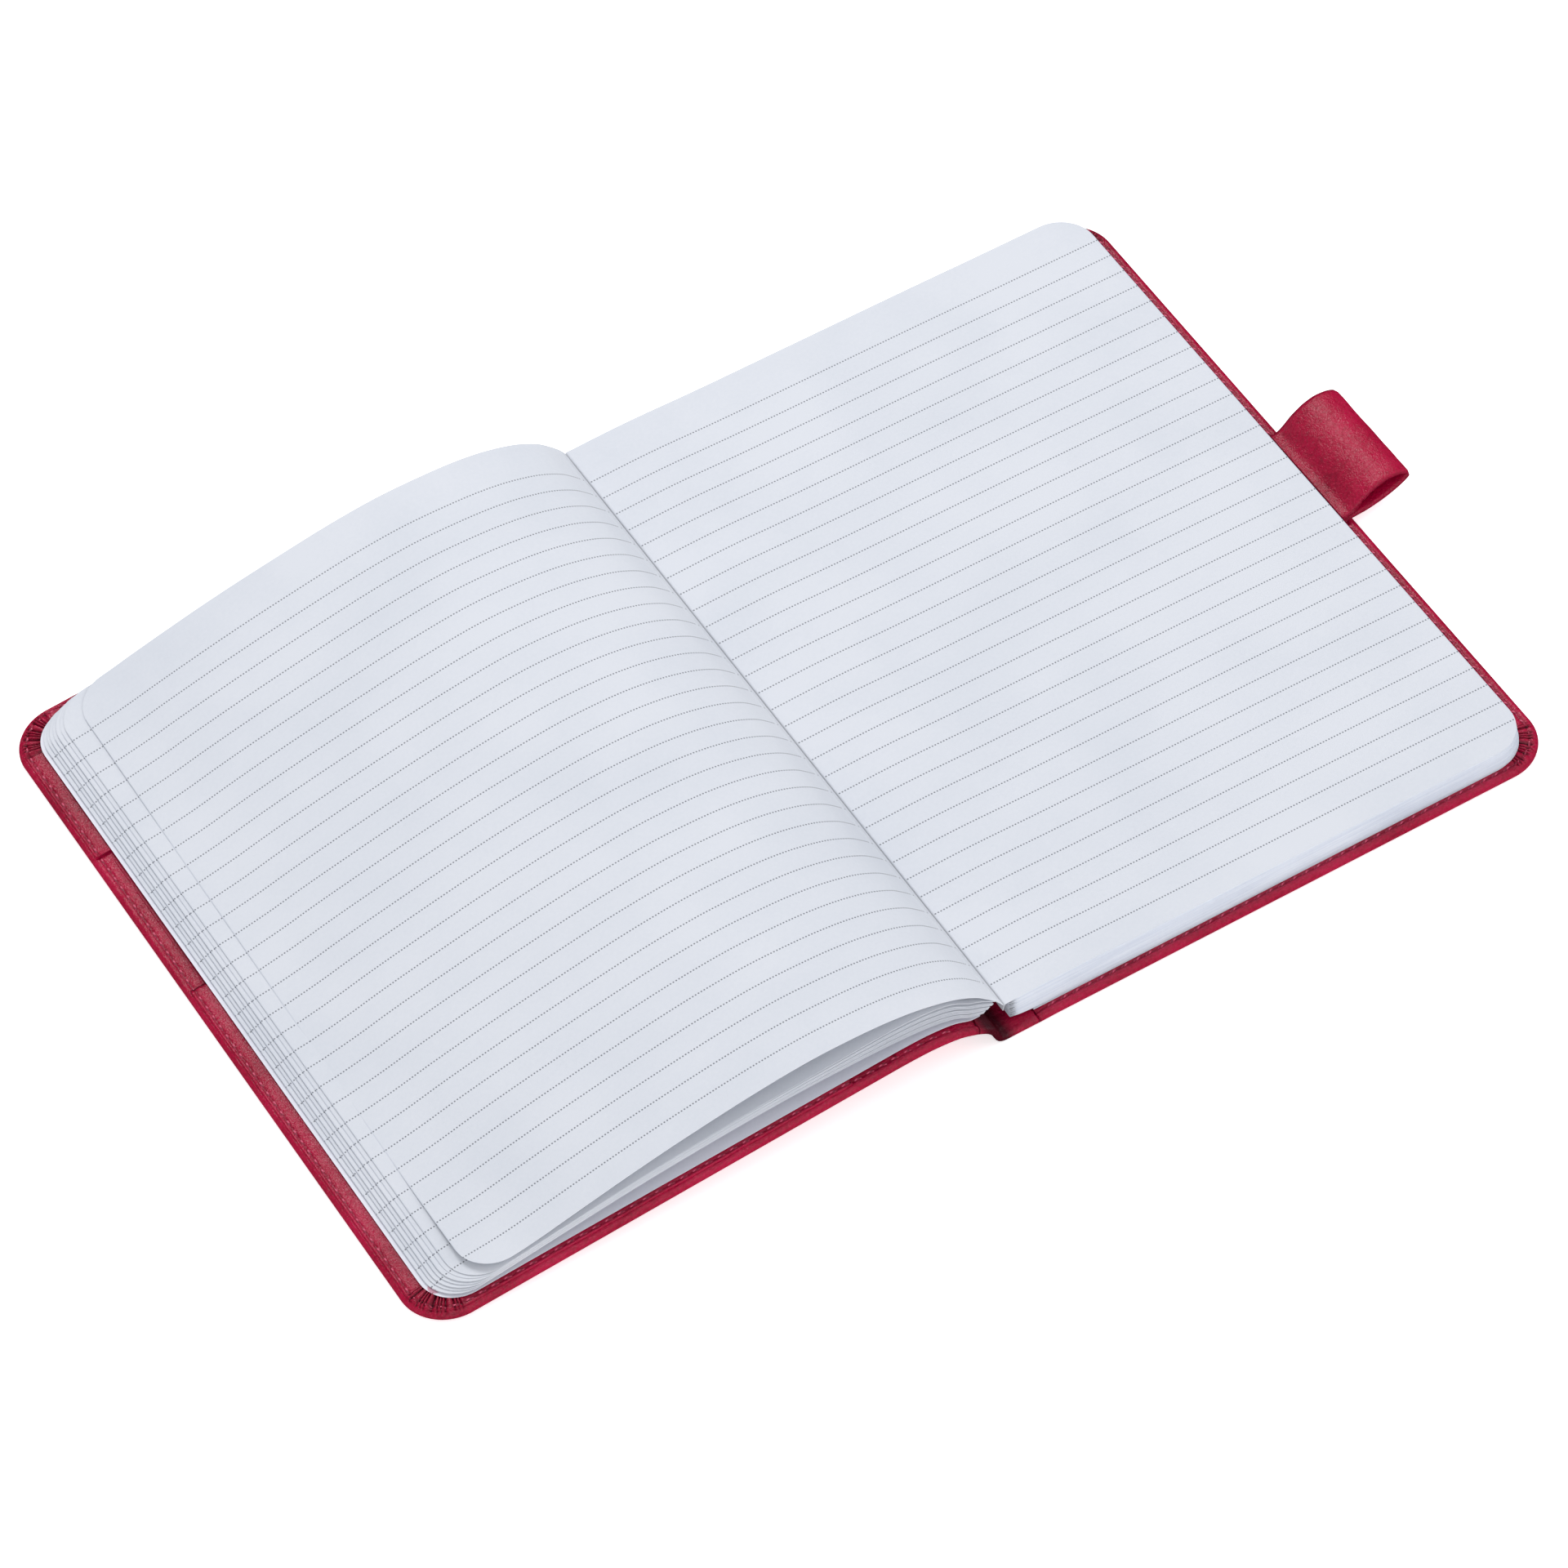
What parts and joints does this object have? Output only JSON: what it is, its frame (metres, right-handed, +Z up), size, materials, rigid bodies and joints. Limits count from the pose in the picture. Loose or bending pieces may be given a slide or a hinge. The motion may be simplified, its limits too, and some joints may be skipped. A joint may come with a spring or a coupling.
{
  "type": "notebook",
  "caption": "Open A5-size ruled notebook with a soft leather cover, rounded corners, inner pockets, fanned leaves and a pen loop on the back cover's fore edge.",
  "frame": {"origin": "centre of the back cover's flat underside, which lies on the table", "axes": "+X to the reader's right across the open spread, +Y to the head of the page, +Z up from the table"},
  "size_m": [0.3317, 0.2162, 0.0271],
  "materials": {
    "cover_leather": "crimson bonded leather, fine pebble grain, satin",
    "inner_leather": "crimson leather, inner panels and lining, satin",
    "grey_board": "thin flexible grey board",
    "page_paper": "smooth white writing paper with grey dotted rules",
    "flyleaf_paper": "smooth white endpaper with a printed row of dull pink dots",
    "sewing_thread": "crimson twisted polyester thread",
    "binding_thread": "white bookbinding thread",
    "mull_cloth": "open-weave binding cloth"
  },
  "bodies": {
    "root": {"back_cover_leather": "cover_leather", "back_cover_board": "grey_board", "back_cover_lining": "inner_leather", "back_hem_stitching": "sewing_thread", "back_endpaper": "flyleaf_paper", "right_section_1": "page_paper", "right_section_2": "page_paper", "right_section_3": "page_paper", "right_section_4": "page_paper", "right_section_5": "page_paper", "right_section_6": "page_paper", "right_section_7": "page_paper", "right_section_8": "page_paper", "right_top_leaf": "page_paper", "spine_mull": "mull_cloth", "sewing_thread": "binding_thread", "pen_loop_sewn_end": "cover_leather"},
    "spine": {"spine_leather": "cover_leather", "spine_lining": "inner_leather"},
    "front_cover": {"front_cover_leather": "cover_leather", "front_cover_board": "grey_board", "front_cover_lining": "inner_leather", "upper_pocket_panel": "inner_leather", "lower_pocket_panel": "inner_leather", "front_hem_stitching": "sewing_thread"},
    "left_top_leaf_body": {"left_top_leaf": "page_paper"},
    "left_second_leaf_body": {"left_second_leaf": "page_paper"},
    "left_section_3_body": {"left_section_3": "page_paper"},
    "left_section_2_body": {"left_section_2": "page_paper"},
    "left_section_1_body": {"left_section_1": "page_paper"},
    "front_flyleaf_body": {"front_flyleaf": "flyleaf_paper"},
    "pen_loop": {"pen_loop": "cover_leather"}
  },
  "joints": [
    {"name": "spine_fold", "type": "hinge", "parent": "root", "child": "spine", "pos_m": [-0.07432, 0, 0.001], "axis": [0, 1, 0], "range_deg": [0, 60.3], "deforming": ["spine_leather", "spine_lining"]},
    {"name": "cover_fold", "type": "hinge", "parent": "spine", "child": "front_cover", "pos_m": [-0.0908, 0, 0.0083], "axis": [0, 1, 0], "range_deg": [0, 124.2]},
    {"name": "left_top_leaf_turn", "type": "hinge", "parent": "root", "child": "left_top_leaf_body", "pos_m": [-0.0783, 0, 0.0108], "axis": [0, 1, 0], "range_deg": [0, 180.1], "deforming": ["left_top_leaf"]},
    {"name": "left_second_leaf_turn", "type": "hinge", "parent": "root", "child": "left_second_leaf_body", "pos_m": [-0.0802, 0, 0.01095], "axis": [0, 1, 0], "range_deg": [0, 180.1], "deforming": ["left_second_leaf"]},
    {"name": "left_section_3_turn", "type": "hinge", "parent": "root", "child": "left_section_3_body", "pos_m": [-0.0816, 0, 0.0112], "axis": [0, 1, 0], "range_deg": [0, 180.1], "deforming": ["left_section_3"]},
    {"name": "left_section_2_turn", "type": "hinge", "parent": "root", "child": "left_section_2_body", "pos_m": [-0.0826, 0, 0.01165], "axis": [0, 1, 0], "range_deg": [0, 180.1], "deforming": ["left_section_2"]},
    {"name": "left_section_1_turn", "type": "hinge", "parent": "root", "child": "left_section_1_body", "pos_m": [-0.0832, 0, 0.01215], "axis": [0, 1, 0], "range_deg": [0, 180.1], "deforming": ["left_section_1"]},
    {"name": "front_flyleaf_turn", "type": "hinge", "parent": "root", "child": "front_flyleaf_body", "pos_m": [-0.0836, 0, 0.0125], "axis": [0, 1, 0], "range_deg": [0, 180.1], "deforming": ["front_flyleaf"]},
    {"name": "pen_loop_flex", "type": "hinge", "parent": "root", "child": "pen_loop", "pos_m": [0.07425, -0.00175, 0.0036], "axis": [0, -1, 0], "range_deg": [-4, 30], "stiffness_Nm_per_rad": 0.004}
  ],
  "couplings": [
    {"joint": "spine_fold", "follows": "cover_fold", "ratio": 0.484},
    {"joint": "left_top_leaf_turn", "follows": "cover_fold", "ratio": 1.449},
    {"joint": "left_second_leaf_turn", "follows": "cover_fold", "ratio": 1.449},
    {"joint": "left_section_3_turn", "follows": "cover_fold", "ratio": 1.449},
    {"joint": "left_section_2_turn", "follows": "cover_fold", "ratio": 1.449},
    {"joint": "left_section_1_turn", "follows": "cover_fold", "ratio": 1.449},
    {"joint": "front_flyleaf_turn", "follows": "cover_fold", "ratio": 1.449}
  ]
}
